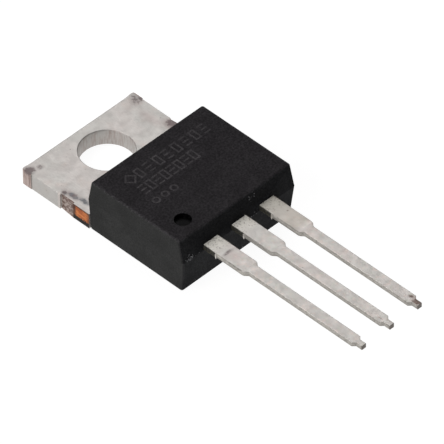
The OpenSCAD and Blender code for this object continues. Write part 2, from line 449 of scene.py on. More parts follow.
class Recipe:
    """Node tree of one finish, on coordinates in millimetres."""

    def __init__(self, name: str) -> None:
        """Starts a material with one shader.

        Args:
            name: Name of the material.
        """
        self.material = bpy.data.materials.new(name)
        self.material.use_nodes = True
        self.nodes = self.material.node_tree.nodes
        self.links = self.material.node_tree.links
        self.shader = self.nodes["Principled BSDF"]
        raw = self.nodes.new("ShaderNodeTexCoord").outputs["Object"]
        self.place = self._mapped(raw, (1 / MM,) * 3, (0, 0, 0))
        split = self.nodes.new("ShaderNodeSeparateXYZ")
        self.links.new(self.place, split.inputs[0])
        self.x, self.y, self.z = split.outputs

    def _mapped(self, source: Socket, scale: Triple, offset: Triple) -> Socket:
        """Scales and shifts coordinates."""
        node = self.nodes.new("ShaderNodeMapping")
        node.inputs["Scale"].default_value = scale
        node.inputs["Location"].default_value = offset
        self.links.new(source, node.inputs["Vector"])
        return node.outputs["Vector"]

    def _feed(self, target: Socket, value: Amount | Colour) -> None:
        """Links a socket or sets a value, with full alpha for a colour."""
        if isinstance(value, Socket):
            self.links.new(value, target)
        elif target.type == "RGBA":
            target.default_value = (*value, 1.0)
        else:
            target.default_value = value

    def noise(
        self,
        size: float,
        detail: float = 2.0,
        stretch: Triple = (1, 1, 1),
        shift: float = 0.0,
        rough: float = 0.5,
    ) -> Socket:
        """Gives soft random patches from 0 to 1.

        Args:
            size: Size of a patch in millimetres.
            detail: How much finer detail is added.
            stretch: How much longer the patches are along each axis.
            shift: Moves to another part of the pattern.
            rough: How strong the finer detail is.

        Returns:
            The pattern.
        """
        scale = tuple(1 / (size * s) for s in stretch)
        node = self.nodes.new("ShaderNodeTexNoise")
        node.inputs["Scale"].default_value = 1.0
        node.inputs["Detail"].default_value = detail
        node.inputs["Roughness"].default_value = rough
        source = self._mapped(self.place, scale, (shift, shift * 0.7, -shift))
        self.links.new(source, node.inputs["Vector"])
        return node.outputs["Fac"]

    def cells(self, size: float, shift: float) -> Socket:
        """Gives the distance to the nearest of scattered points, in cell sizes."""
        node = self.nodes.new("ShaderNodeTexVoronoi")
        node.inputs["Scale"].default_value = 1.0
        source = self._mapped(self.place, (1 / size,) * 3, (shift, -shift, shift))
        self.links.new(source, node.inputs["Vector"])
        return node.outputs["Distance"]

    def step(
        self, value: Socket, start: float, end: float, low: float = 0.0, high: float = 1.0
    ) -> Socket:
        """Goes softly from one value to another.

        Args:
            value: What is tested.
            start: Where the step starts.
            end: Where the step ends.
            low: Result at the start.
            high: Result at the end.

        Returns:
            The result.
        """
        node = self.nodes.new("ShaderNodeMapRange")
        node.interpolation_type = "SMOOTHSTEP"
        bounds = (end, start, high, low) if end < start else (start, end, low, high)
        self._feed(node.inputs["Value"], value)
        for name, number in zip(("From Min", "From Max", "To Min", "To Max"), bounds):
            node.inputs[name].default_value = number
        return node.outputs["Result"]

    def patches(
        self, size: float, detail: float, start: float, end: float, peak: float = 1.0,
        shift: float = 0.0,
    ) -> Socket:
        """Gives patches of noise that start at one value and reach their peak at another."""
        return self.step(self.noise(size, detail, shift=shift), start, end, 0.0, peak)

    def maths(self, kind: str, first: Amount, second: Amount = 0.0) -> Socket:
        """Does one sum on one or two values."""
        node = self.nodes.new("ShaderNodeMath")
        node.operation = kind
        self._feed(node.inputs[0], first)
        self._feed(node.inputs[1], second)
        return node.outputs[0]

    def product(self, *values: Amount) -> Amount:
        """Multiplies values."""
        return reduce(partial(self.maths, "MULTIPLY"), values)

    def most(self, *values: Socket) -> Socket:
        """Gives the largest of several values."""
        return reduce(partial(self.maths, "MAXIMUM"), values)

    def radius(self) -> Socket:
        """Gives the distance from the axis of the mounting hole, in millimetres."""
        squares = self.product(self.x, self.x), self.product(self.y, self.y)
        return self.maths("SQRT", self.maths("ADD", *squares))

    def band(self, value: Socket, low: float, high: float, soft: float) -> Socket:
        """Is 1 between two places and fades out over a soft edge outside them."""
        return self.product(
            self.step(value, low - soft, low), self.step(value, high + soft, high)
        )

    def spot(self, centre: Triple, reach: Triple) -> Socket:
        """Gives a soft patch round a point.

        Args:
            centre: Middle of the patch in millimetres.
            reach: How far the patch reaches along each axis in millimetres.

        Returns:
            1 in the middle and 0 outside.
        """
        scale = tuple(1 / r for r in reach)
        offset = tuple(-c / r for c, r in zip(centre, reach))
        node = self.nodes.new("ShaderNodeVectorMath")
        node.operation = "LENGTH"
        self.links.new(self._mapped(self.place, scale, offset), node.inputs[0])
        return self.step(node.outputs["Value"], 1.0, 0.1)

    def blend(self, amount: Amount, first: Colour, second: Colour) -> Socket:
        """Goes from one colour to another as the amount goes from 0 to 1."""
        node = self.nodes.new("ShaderNodeMix")
        node.data_type = "RGBA"
        self._feed(node.inputs["Factor"], amount)
        colours = [s for s in node.inputs if s.type == "RGBA"]
        self._feed(colours[0], first)
        self._feed(colours[1], second)
        return [s for s in node.outputs if s.type == "RGBA"][0]

    def cover(self, colour: Socket, tone: Colour, *amounts: Amount) -> Socket:
        """Lays a tone over a colour, as strongly as the product of the amounts."""
        return self.blend(self.product(*amounts), colour, tone)

    def relief(self, *layers: tuple[Socket, float]) -> Socket:
        """Stacks height patterns into one normal, the coarsest first.

        Args:
            layers: Each pattern, from 0 to 1, and its depth in millimetres.

        Returns:
            The normal.
        """
        normal = None
        for height, depth in layers:
            node = self.nodes.new("ShaderNodeBump")
            node.inputs["Strength"].default_value = 1.0
            node.inputs["Distance"].default_value = depth * MM
            self.links.new(height, node.inputs["Height"])
            if normal is not None:
                self.links.new(normal, node.inputs["Normal"])
            normal = node.outputs["Normal"]
        return normal

    def pour(self, **values: Amount | Colour) -> bpy.types.Material:
        """Sets the shader's sockets.

        Args:
            values: A socket's name with underscores for spaces, and its value.

        Returns:
            The finished material.
        """
        for name, value in values.items():
            self._feed(self.shader.inputs[name.replace("_", " ")], value)
        return self.material


@dataclass(frozen=True)
class Stain:
    """A frayed stain: its middle and its reach along each axis, and its strength."""

    centre: Triple
    reach: Triple
    strength: float


@dataclass(frozen=True)
class TinPlate:
    """Matte tin over copper, with handling marks and copper at the strip cuts."""

    warm: Triple = (0.556, 0.518, 0.496)
    cool: Triple = (0.526, 0.508, 0.484)
    rosy: Triple = (0.590, 0.500, 0.462)
    green: Triple = (0.490, 0.500, 0.440)
    smudge: Triple = (0.105, 0.074, 0.076)
    blue_smudge: Triple = (0.110, 0.116, 0.130)
    oxide: Triple = (0.085, 0.040, 0.026)
    copper: Triple = (0.420, 0.320, 0.290)
    blush: Triple = (0.400, 0.310, 0.295)
    olive: Triple = (0.330, 0.296, 0.240)
    # painted light: a pale tone that lightens the lead tops near the body, where the body shades
    # them
    painted_root_light: Triple = (0.900, 0.870, 0.790)
    dull: Triple = (0.270, 0.192, 0.162)
    shade: Triple = (0.300, 0.290, 0.272)
    strip_cut_y: float = 1.83
    relief_y: float = -0.8
    tie_y: float = -2.0
    side_x: float = 5.0
    relief_x: float = 4.9
    hole_radius: float = 1.9
    line_z: float = 1.08
    lead_level: Pair = (2.5, 2.7)
    root_y: Pair = (-12.9, -11.9)
    painted_root_light_y: Pair = (-13.6, -12.2)
    pins_y: Pair = (-13.4, -14.4)
    metal_y: Pair = (-14.6, -12.4)
    inside_y: Pair = (-11.9, -11.8)
    metal: float = 0.62
    root_metal: float = 0.10
    smears: tuple[Stain, ...] = (
        Stain((-4.85, 2.20, TAB_TOP), (0.80, 0.72, 0.5), 1.16),
        Stain((-4.20, 1.95, TAB_TOP), (0.62, 0.45, 0.5), 0.80),
        Stain((-4.75, -0.90, TAB_TOP), (0.42, 0.42, 0.7), 0.95),
        Stain((-4.55, -1.50, TAB_TOP), (0.42, 0.95, 0.5), 1.06),
        Stain((-4.42, -2.40, TAB_TOP), (0.40, 0.95, 0.5), 1.00),
        Stain((-4.30, -3.10, TAB_TOP), (0.36, 0.65, 0.5), 0.92),
        Stain((4.70, 2.05, TAB_TOP), (1.00, 1.10, 0.6), 0.78),
        Stain((4.95, 1.90, TAB_TOP), (0.35, 0.60, 0.6), 0.92),
        Stain((4.75, -1.30, TAB_TOP), (0.80, 1.10, 0.6), 1.06),
        Stain((4.65, -2.50, TAB_TOP), (0.45, 0.80, 0.5), 0.72),
        Stain((-2.58, -13.62, LEAD_TOP), (0.95, 0.27, 0.3), 0.90),
        Stain((2.80, -13.65, LEAD_TOP), (0.16, 0.14, 0.3), 1.05),
        Stain((-2.10, -12.60, LEAD_TOP), (0.40, 0.70, 0.3), 0.70),
        Stain((0.45, -12.60, LEAD_TOP), (0.40, 0.80, 0.3), 0.65),
        Stain((3.00, -12.60, LEAD_TOP), (0.40, 0.80, 0.3), 0.75),
        Stain((1.30, 1.70, 0.90), (0.35, 0.35, 0.18), 0.95),
    )
    burns: tuple[Stain, ...] = (
        Stain((2.62, -25.30, 3.00), (0.75, 0.72, 0.6), 1.20),
        Stain((2.66, -24.72, LEAD_TOP), (0.32, 0.42, 0.3), 0.95),
        Stain((0.18, -25.10, 3.00), (0.45, 0.20, 0.3), 0.70),
        Stain((-0.12, -24.70, LEAD_TOP), (0.07, 0.45, 0.1), 0.80),
        Stain((-2.45, -12.40, LEAD_TOP), (0.40, 0.30, 0.3), 0.42),
        Stain((0.05, -12.45, LEAD_TOP), (0.45, 0.30, 0.3), 0.42),
        Stain((2.50, -12.45, LEAD_TOP), (0.45, 0.30, 0.3), 0.42),
    )
    blushes: tuple[tuple[Triple, Triple], ...] = (
        ((4.10, 0.20, TAB_TOP), (0.65, 1.60, 0.5)),
        ((4.45, -1.40, TAB_TOP), (0.50, 1.30, 0.5)),
        ((-4.60, -1.30, TAB_TOP), (0.60, 1.20, 0.6)),
        ((-2.55, -14.15, LEAD_TOP), (0.60, 0.80, 0.3)),
    )

    def make(self) -> bpy.types.Material:
        """Builds the material.

        Returns:
            The material.
        """
        r = Recipe("tin_plate")
        normal = r.relief(
            (r.noise(0.6, 2, shift=4), 0.010),
            (r.noise(0.05, 2, shift=2), 0.0012),
            (r.noise(0.035, 2, stretch=(1, 30, 1), shift=21), 0.0008),
        )
        rough = r.step(r.noise(0.5, 4, shift=9), 0.3, 0.7, 0.40, 0.54)
        metal = r.most(
            r.step(r.y, *self.metal_y, self.metal, self.root_metal),
            r.step(r.y, *self.inside_y, 0.0, self.metal),
        )
        colour = self._leads(r, self._smears(r, self._sides(r, self._plate(r))))
        return r.pour(Base_Color=colour, Roughness=rough, Normal=normal, Metallic=metal)

    def _plate(self, r: Recipe) -> Socket:
        """Gives the even colour of the plating, with faint tints and pits."""
        colour = r.blend(r.patches(2.2, 3, 0.35, 0.65), self.warm, self.cool)
        colour = r.cover(colour, self.rosy, r.patches(1.3, 3, 0.52, 0.75, shift=7), 0.45)
        fine = r.noise(0.09, 3, stretch=(1, 3, 1), shift=3)
        colour = r.cover(colour, self.smudge, r.step(fine, 0.3, 0.75, 0.0, 0.10))
        pits = r.step(r.cells(0.55, 5), 0.11, 0.03)
        return r.cover(colour, self.smudge, pits, r.patches(1.6, 2, 0.5, 0.62, shift=11), 0.6)

    def _sides(self, r: Recipe, colour: Socket) -> Socket:
        """Adds what shows on the sheared sides: copper streaks, reliefs and their outlines."""
        side = r.maths("ABSOLUTE", r.x)
        skin = r.step(side, self.side_x, self.side_x + 0.05)
        colour = r.cover(colour, self.shade, skin, 0.50)
        strip = r.product(skin, r.step(r.y, self.strip_cut_y, self.strip_cut_y + 0.03))
        streaks = r.noise(0.13, 3, stretch=(1, 1, 9), shift=31)
        colour = r.cover(colour, self.copper, strip, 0.85)
        colour = r.cover(colour, self.oxide, strip, r.step(streaks, 0.44, 0.64), 0.62)
        edge = r.band(r.y, self.strip_cut_y - 0.02, self.strip_cut_y + 0.05, 0.05)
        colour = r.cover(colour, self.oxide, skin, edge, 0.12)
        colour = self._reliefs(r, colour, side)
        wall = r.step(r.radius(), self.hole_radius + 0.04, self.hole_radius + 0.01)
        colour = r.cover(colour, self.shade, wall, 0.34)
        scored = r.noise(0.10, 3, stretch=(1, 1, 8), shift=71)
        colour = r.cover(colour, self.dull, wall, r.step(scored, 0.42, 0.66, 0.0, 0.45))
        near = r.band(r.y, self.relief_y, self.relief_y + 0.18, 0.06)
        near = r.product(r.step(side, self.relief_x, self.relief_x + 0.10), near)
        return r.cover(colour, self.rosy, near, 0.35)

    def _reliefs(self, r: Recipe, colour: Socket, side: Socket) -> Socket:
        """Adds the dull, blotched floor of the reliefs and the dark line along it."""
        relief = r.product(
            r.step(side, self.relief_x, self.relief_x + 0.03),
            r.band(r.y, self.tie_y, self.relief_y - 0.05, 0.02),
        )
        colour = r.cover(colour, self.dull, relief, 0.75)
        blotch = r.noise(0.20, 4, shift=41)
        colour = r.cover(colour, self.oxide, relief, r.step(blotch, 0.44, 0.60, 0.0, 0.90))
        slant = r.maths("ADD", r.z, r.step(blotch, 0.3, 0.7, -0.12, 0.12))
        line = r.band(slant, self.line_z - 0.05, self.line_z + 0.05, 0.06)
        colour = r.cover(colour, self.oxide, relief, line, 0.92)
        return r.cover(colour, self.dull, relief, r.step(slant, 0.22, 0.10), 0.55)

    def _smears(self, r: Recipe, colour: Socket) -> Socket:
        """Adds dark handling smears at the edges of the tab and along the leads."""
        blush = r.most(*(r.spot(*spot) for spot in self.blushes))
        colour = r.cover(colour, self.blush, blush, 0.40)
        tone = r.blend(
            r.product(
                r.step(r.x, -3.8, -4.2), r.band(r.y, -3.6, -1.2, 0.4),
                r.patches(0.45, 2, 0.35, 0.55, shift=61),
            ),
            self.smudge, self.blue_smudge,
        )
        colour = self._stained(r, colour, self.smears, tone)
        return self._stained(r, colour, self.burns, self.oxide)

    def _stained(
        self, r: Recipe, colour: Socket, stains: Sequence[Stain], tone: Colour
    ) -> Socket:
        """Lays frayed stains over a colour.

        Args:
            r: The node tree.
            colour: The colour so far.
            stains: The stains.
            tone: Their colour.

        Returns:
            The stained colour.
        """
        reach = r.most(*(r.product(r.spot(s.centre, s.reach), s.strength) for s in stains))
        fray = r.maths("SUBTRACT", r.noise(0.22, 5, shift=51, rough=0.62), 0.5)
        frayed = r.maths("ADD", reach, r.product(fray, 1.2))
        soft = r.step(reach, 0.1, 0.9, 0.0, 0.36)
        return r.cover(colour, tone, r.most(r.step(frayed, 0.40, 1.00, 0.0, 0.85), soft))

    def _leads(self, r: Recipe, colour: Socket) -> Socket:
        """Adds painted light on the tops of the leads near the body, mottling at their roots,
        and tints along the pins.
        """
        level = r.step(r.z, *self.lead_level)
        # painted light: the lead tops are lightened towards the body, standing in for the light
        # that the body blocks
        colour = r.cover(colour, self.painted_root_light, r.step(r.y, *self.painted_root_light_y), level, 0.85)
        pins = r.step(r.y, *self.pins_y)
        colour = r.cover(colour, self.rosy, pins, r.patches(0.30, 2, 0.50, 0.68, 0.55, 91))
        colour = r.cover(colour, self.green, pins, r.patches(0.34, 2, 0.52, 0.70, 0.50, 101))
        root = r.product(r.band(r.y, *self.root_y, 0.5), level)
        colour = r.cover(colour, self.oxide, root, r.patches(0.12, 3, 0.52, 0.66, 0.50, 81))
        right = r.product(r.band(r.y, -15.0, -11.9, 0.6), r.step(r.x, 1.4, 1.8))
        return r.cover(colour, self.olive, right, 0.42)


@dataclass(frozen=True)
class ShearedEdge:
    """Tinned side of a lead where the punch went through, darker than the top."""

    stain: Triple = (0.120, 0.100, 0.088)
    light: Triple = (0.400, 0.378, 0.348)
    dark: Triple = (0.210, 0.196, 0.178)
    low_z: Pair = (2.86, 2.68)
    tip_y: Pair = (-25.45, -25.56)

    def make(self) -> bpy.types.Material:
        """Builds the material.

        Returns:
            The material.
        """
        r = Recipe("sheared_edge")
        streaks = r.noise(0.10, 4, stretch=(1, 2.5, 1), shift=13)
        colour = r.blend(r.step(streaks, 0.38, 0.72, 0.0, 0.7), self.light, self.dark)
        colour = r.cover(colour, self.dark, r.step(r.z, *self.low_z), 0.35)
        colour = r.cover(colour, self.stain, r.step(r.y, *self.tip_y), 0.8)
        normal = r.relief((r.noise(0.04, 2, stretch=(1, 1, 6), shift=17), 0.004))
        rough = r.step(streaks, 0.3, 0.7, 0.5, 0.66)
        return r.pour(Base_Color=colour, Roughness=rough, Normal=normal, Metallic=0.6)


@dataclass(frozen=True)
class BareCopper:
    """Fresh copper of a tie-bar cut, with a dark burnt outline."""

    bright: Triple = (0.540, 0.172, 0.048)
    deep: Triple = (0.320, 0.084, 0.024)
    pale: Triple = (0.480, 0.235, 0.105)
    outline: Triple = (0.036, 0.015, 0.009)
    soot: Triple = (0.006, 0.004, 0.003)
    tie_y: float = -2.0
    body_y: Pair = (-3.16, -3.44)

    def make(self) -> bpy.types.Material:
        """Builds the material.

        Returns:
            The material.
        """
        r = Recipe("bare_copper")
        streaks = r.noise(0.16, 4, stretch=(1, 3, 1), shift=5)
        colour = r.blend(r.step(streaks, 0.38, 0.64), self.bright, self.deep)
        colour = r.cover(colour, self.pale, r.patches(0.5, 2, 0.55, 0.72, 0.6, 15))
        fray = r.step(r.noise(0.12, 3, shift=25), 0.25, 0.75, -0.07, 0.07)
        y, z = r.maths("ADD", r.y, fray), r.maths("ADD", r.z, fray)
        rim = r.most(
            r.step(z, 0.50, 0.28), r.step(z, TAB_TOP - 0.20, TAB_TOP - 0.04),
            r.step(y, self.tie_y - 0.36, self.tie_y - 0.12), r.step(y, *self.body_y, 0.0, 0.8),
        )
        colour = r.cover(colour, self.outline, rim, 0.92)
        colour = r.cover(colour, self.soot, r.step(z, 0.46, 0.28))
        return r.pour(
            Base_Color=colour,
            Roughness=r.step(streaks, 0.3, 0.7, 0.36, 0.52),
            Normal=r.relief((r.noise(0.05, 3, stretch=(1, 1, 5), shift=8), 0.006)),
            Metallic=r.step(rim, 0.2, 0.8, 0.7, 0.0),
            Specular_IOR_Level=0.12,
        )


@dataclass(frozen=True)
class MouldingResin:
    """Black filled epoxy with a fine spark-eroded grain."""

    name: str = "moulding_resin"
    dark: Triple = (0.0130, 0.0118, 0.0130)
    light: Triple = (0.0370, 0.0338, 0.0372)
    # dust specks, and painted highlights along the parting line and the rounded edges of the top
    dust_and_highlight: Triple = (0.0750, 0.0720, 0.0750)
    grain: float = 0.13
    relief: float = 0.010
    shine: float = 0.06
    parting_z: float = 2.66
    # depths of the band of wear and painted highlight under the top and in from the flanks and
    # the lead side
    wear_and_highlight_under_top: Pair = (0.17, 0.04)
    wear_and_highlight_flank: Pair = (0.22, 0.12)
    wear_and_highlight_front: Pair = (0.50, 0.38)

    def make(self) -> bpy.types.Material:
        """Builds the material.

        Returns:
            The material.
        """
        r = Recipe(self.name)
        grain = r.noise(self.grain, 4, rough=0.70)
        cloud = r.noise(1.4, 3, shift=6)
        colour = r.blend(r.step(grain, 0.34, 0.68), self.dark, self.light)
        colour = r.cover(colour, self.dark, r.step(cloud, 0.35, 0.75, 0.0, 0.35))
        specks = r.step(r.cells(0.30, 3), 0.13, 0.05)
        colour = r.cover(
            colour, self.dust_and_highlight, specks, r.patches(0.9, 2, 0.5, 0.66, shift=16), 0.45
        )
        # painted highlight: light patches along the parting line
        seam = r.band(r.z, self.parting_z - 0.02, self.parting_z + 0.02, 0.03)
        colour = r.cover(
            colour, self.dust_and_highlight, seam, r.patches(0.35, 3, 0.45, 0.62, shift=26), 0.10
        )
        # wear and painted highlight along the rounded edges of the top
        colour = r.cover(colour, self.dust_and_highlight, self._edge_wear_and_highlight(r))
        normal = r.relief((r.noise(0.9, 2, shift=36), 0.006), (grain, self.relief))
        rough = r.step(cloud, 0.3, 0.7, 0.60, 0.74)
        return r.pour(
            Base_Color=colour, Roughness=rough, Normal=normal, Specular_IOR_Level=self.shine,
        )

    def _edge_wear_and_highlight(self, r: Recipe) -> Socket:
        """Gives the light line along the rounded edges of the top: partly wear and dust, partly
        a painted highlight.
        """
        low, high = span("moulded_body")
        level = r.step(r.z, *(high.z - depth for depth in self.wear_and_highlight_under_top))
        flank = r.step(r.maths("ABSOLUTE", r.x), *(high.x - depth for depth in self.wear_and_highlight_flank))
        front = r.step(r.y, *(low.y + depth for depth in self.wear_and_highlight_front))
        rubbed_and_lit = r.step(r.noise(0.14, 3, shift=46), 0.40, 0.66, 0.10, 0.55)
        return r.product(level, r.most(flank, front), rubbed_and_lit)


@dataclass(frozen=True)
class PolishedResin:
    """Smooth, glossy resin left by an ejector pin; its near-black colour is painted shade in the
    hollow of the dimple.
    """

    dark: Triple = (0.0012, 0.0011, 0.0013)
    light: Triple = (0.0060, 0.0056, 0.0060)

    def make(self) -> bpy.types.Material:
        """Builds the material.

        Returns:
            The material.
        """
        r = Recipe("glossy_resin_painted_shade")
        cloud = r.noise(0.25, 3, shift=4)
        return r.pour(
            Base_Color=r.blend(r.step(cloud, 0.5, 0.75), self.dark, self.light),
            Roughness=r.step(cloud, 0.3, 0.7, 0.30, 0.45),
            Normal=r.relief((r.noise(0.12, 2, shift=14), 0.002)),
            Specular_IOR_Level=0.04,
        )


@dataclass(frozen=True)
class LaserMark:
    """Resin lightened by a laser, broken by the grain."""

    light: Triple = (0.0830, 0.0770, 0.0810)
    dark: Triple = (0.0360, 0.0330, 0.0355)

    def make(self) -> bpy.types.Material:
        """Builds the material.

        Returns:
            The material.
        """
        r = Recipe("laser_mark")
        grain = r.noise(0.07, 3, shift=9, rough=0.6)
        colour = r.blend(r.step(grain, 0.35, 0.62), self.light, self.dark)
        return r.pour(
            Base_Color=r.cover(colour, self.dark, r.patches(0.5, 2, 0.35, 0.65, 0.5, 19)),
            Roughness=r.step(grain, 0.3, 0.7, 0.80, 0.92),
            Normal=r.relief((grain, 0.008)),
            Specular_IOR_Level=0.1,
        )


@dataclass(frozen=True)
class FlashResin:
    """Thin resin that seeped past the mould: dark olive, slightly glossy."""

    olive: Triple = (0.034, 0.031, 0.019)
    dark: Triple = (0.009, 0.008, 0.007)
    pale: Triple = (0.150, 0.140, 0.105)

    def make(self) -> bpy.types.Material:
        """Builds the material.

        Returns:
            The material.
        """
        r = Recipe("flash_resin")
        cloud = r.noise(0.18, 4, shift=3)
        colour = r.blend(r.step(cloud, 0.35, 0.65), self.olive, self.dark)
        return r.pour(
            Base_Color=r.cover(colour, self.pale, r.patches(0.12, 3, 0.60, 0.72, 0.8, 12)),
            Roughness=r.step(cloud, 0.3, 0.7, 0.42, 0.60),
            Normal=r.relief((r.noise(0.05, 3, shift=22), 0.006)),
        )


@dataclass(frozen=True)
class CrumbResin:
    """Light crumbs of broken flash along the parting line."""

    light: Triple = (0.100, 0.100, 0.106)
    dark: Triple = (0.026, 0.026, 0.030)

    def make(self) -> bpy.types.Material:
        """Builds the material.

        Returns:
            The material.
        """
        r = Recipe("crumb_resin")
        grain = r.noise(0.05, 3, shift=2)
        return r.pour(
            Base_Color=r.blend(r.step(grain, 0.4, 0.62), self.light, self.dark),
            Roughness=r.step(grain, 0.3, 0.7, 0.55, 0.75),
            Normal=r.relief((grain, 0.006)),
        )


@dataclass(frozen=True)
class SealedMetal:
    """A metal sealed in the resin: solder, or aluminium bond wire."""

    name: str
    light: Triple
    dark: Triple
    grain: float
    rough: Pair

    def make(self) -> bpy.types.Material:
        """Builds the material.

        Returns:
            The material.
        """
        r = Recipe(self.name)
        grain = r.noise(self.grain, 3, shift=5)
        return r.pour(
            Base_Color=r.blend(r.step(grain, 0.35, 0.68), self.light, self.dark),
            Roughness=r.step(grain, 0.3, 0.7, *self.rough),
            Normal=r.relief((grain, 0.003)),
            Metallic=1.0,
        )


@dataclass(frozen=True)
class SiliconFace:
    """Polished silicon with the faint blocks of a power circuit."""

    base: Triple = (0.115, 0.125, 0.160)
    block: Triple = (0.260, 0.235, 0.190)
    street: Triple = (0.055, 0.060, 0.080)
    block_size: float = 0.42

    def make(self) -> bpy.types.Material:
        """Builds the material.

        Returns:
            The material.
        """
        r = Recipe("silicon_face")
        cell = r.cells(self.block_size, 4)
        lines = r.noise(0.05, 1, stretch=(1, 20, 1), shift=8)
        colour = r.blend(r.step(cell, 0.35, 0.5), self.block, self.base)
        return r.pour(
            Base_Color=r.cover(colour, self.street, r.step(lines, 0.55, 0.62, 0.0, 0.6)),
            Roughness=r.step(cell, 0.3, 0.6, 0.12, 0.26),
            Normal=r.relief((lines, 0.0005)),
            Metallic=0.4,
        )


@dataclass(frozen=True)
class WhiteTable:
    """Evenly lit white table top."""

    white: Triple = (0.16, 0.16, 0.16)
    off_white: Triple = (0.15, 0.15, 0.15)
    glow: float = 0.93

    def make(self) -> bpy.types.Material:
        """Builds the material.

        Returns:
            The material.
        """
        r = Recipe("white_table")
        return r.pour(
            Base_Color=r.blend(r.patches(40, 2, 0.3, 0.7), self.white, self.off_white),
            Roughness=0.9, Specular_IOR_Level=0.0,
            Emission_Color=(1.0, 1.0, 1.0), Emission_Strength=self.glow,
        )


@dataclass
class Finishes:
    """All the finishes, each made once."""

    tin: bpy.types.Material = field(default_factory=TinPlate().make)
    sheared: bpy.types.Material = field(default_factory=ShearedEdge().make)
    copper: bpy.types.Material = field(default_factory=BareCopper().make)
    resin: bpy.types.Material = field(default_factory=MouldingResin().make)
    # painted shade: copies of the resin chosen by which way the faces look, greyer and a little
    # darker on the flanks, much darker on the lead side
    flank: bpy.types.Material = field(
        default_factory=MouldingResin(
            "flank_resin_painted_shade", (0.0160, 0.0160, 0.0158), (0.0300, 0.0300, 0.0296),
            (0.0620, 0.0620, 0.0620), 0.10, 0.006, 0.05,
        ).make
    )
    front: bpy.types.Material = field(
        default_factory=MouldingResin(
            "lead_side_resin_painted_shade", (0.0092, 0.0094, 0.0102), (0.0236, 0.0240, 0.0256),
            (0.0700, 0.0700, 0.0740), 0.12, 0.010, 0.03,
        ).make
    )
    # near-black finish of the dimple: glossy, and painted shade in its hollow
    glossy_painted_shade: bpy.types.Material = field(default_factory=PolishedResin().make)
    mark: bpy.types.Material = field(default_factory=LaserMark().make)
    flash: bpy.types.Material = field(default_factory=FlashResin().make)
    crumb: bpy.types.Material = field(default_factory=CrumbResin().make)


# ---------------------------------------------------------------- the pieces


@lru_cache(maxsize=None)
def span(node: str) -> tuple[Vector, Vector]:
    """Gives the lowest and highest corner of a CAD node in millimetres."""
    low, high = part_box(node)
    return low / MM, high / MM


@dataclass
class LeadShape:
    """The stepped outline that all three leads share outside the body."""

    wide: float = 1.26
    pin: float = 0.80
    nib: float = 0.38
    wide_length: float = 3.40
    shoulder: float = 0.40
    nib_length: float = 0.50
    nib_step: float = 0.20
    shoulder_steps: int = 10
    top_round: float = 0.05
    low_round: float = 0.02

    def build(self, name: str, centre: float, root_y: float, front_y: float) -> Piece:
        """Models one lead from its inner end to its tip.

        Args:
            name: Name of the piece.
            centre: Place of the lead along X.
            root_y: Inner end of the lead, inside the body.
            front_y: Lead side of the body.

        Returns:
            The lead, still with sharp edges.
        """
        low, high = span("input_lead")
        shoulder_y = front_y - self.wide_length
        half = self.wide / 2
        piece = Piece.box(
            name, (centre - half, shoulder_y, low.z), (centre + half, root_y, high.z)
        )
        with piece.editing():
            piece.pick_faces(lambda c, n: n.y < -FACING)
            width = self.wide
            for number in range(1, self.shoulder_steps + 1):
                part = number / self.shoulder_steps
                place = shoulder_y - self.shoulder * part
                target = (self.wide + self.pin) / 2
                target += (self.wide - self.pin) / 2 * math.cos(math.pi * part)
                piece.extrude((0, -self.shoulder / self.shoulder_steps, 0))
                piece.resize((target / width, 1, 1), (centre, place, low.z))
                width = target
            nib_y = low.y + self.nib_length
            piece.extrude((0, nib_y + self.nib_step - place, 0))
            piece.extrude((0, -self.nib_step, 0))
            piece.resize((self.nib / width, 1, 1), (centre, nib_y, low.z))
            piece.extrude((0, -self.nib_length, 0))
        return piece

    def soften(self, piece: Piece, centre: float, front_y: float) -> None:
        """Rounds the long edges outside the body: more above than below.

        Args:
            piece: The lead.
            centre: Place of the lead along X.
            front_y: Lead side of the body.
        """
        low, high = span("input_lead")

        def outside(a: Vector, b: Vector, level: float) -> bool:
            """Says whether an edge runs along a side of the lead at this level."""
            near = abs(a.x - centre) < self.wide and abs(b.x - centre) < self.wide
            along = abs(a.y - b.y) > NEAR and max(a.y, b.y) < front_y + 1.0
            return near and at(Axis.Z, level, a, b) and along

        piece.round_edges(self.top_round, 3, lambda a, b: outside(a, b, high.z))
        piece.round_edges(self.low_round, 2, lambda a, b: outside(a, b, low.z))

    def is_side(self, centre: Vector, normal: Vector) -> bool:
        """Says whether a face is a sheared side or the tip of a lead."""
        return abs(normal.z) < 0.35 and centre.z > span("input_lead")[0].z


